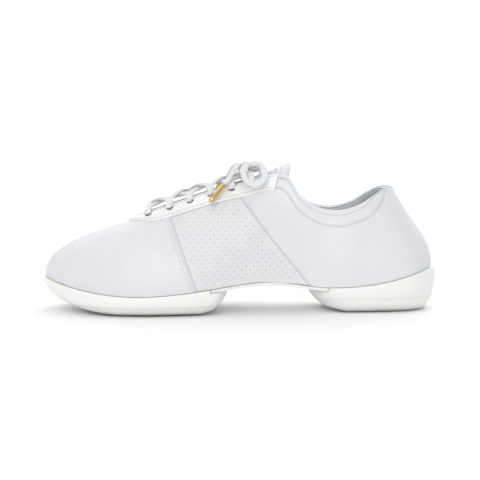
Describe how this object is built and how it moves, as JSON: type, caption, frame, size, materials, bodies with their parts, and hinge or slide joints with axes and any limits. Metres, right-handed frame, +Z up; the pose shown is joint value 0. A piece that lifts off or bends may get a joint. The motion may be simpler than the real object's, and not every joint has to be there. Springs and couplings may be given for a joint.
{
  "type": "dance sneaker",
  "caption": "Low lace-up leather dance sneaker for the left foot, with a split sole of separate forefoot and heel pads, each with a round spin spot.",
  "frame": {"origin": "on the floor that the two sole pads stand on, under the middle of the shoe's length and width", "axes": "+X to the heel, -X to the toe, -Y to the outer side of the left foot, +Z up"},
  "size_m": [0.2649, 0.0966, 0.0994],
  "materials": {
    "upper_leather": "soft satin grain",
    "facing_leather": "soft satin grain",
    "arch_leather": "smooth matte",
    "tongue_textile": "matte",
    "lining_textile": "matte",
    "sole_rubber": "smooth matte",
    "spot_plastic": "satin",
    "lace_cloth": "matte weave",
    "aglet_brass": "polished"
  },
  "bodies": {
    "root": {"upper": "upper_leather", "eyestay": "facing_leather", "tongue": "tongue_textile", "insole": "lining_textile", "arch_panel": "arch_leather", "front_sole": "sole_rubber", "heel_sole": "sole_rubber", "front_spin_spot": "spot_plastic", "heel_spin_spot": "spot_plastic", "lace_crossings": "lace_cloth", "lace_knot": "lace_cloth", "lace_loop_outer": "lace_cloth", "lace_loop_inner": "lace_cloth", "lace_end_outer": "lace_cloth", "lace_end_inner": "lace_cloth", "aglet_outer": "aglet_brass", "aglet_inner": "aglet_brass"}
  },
  "joints": []
}
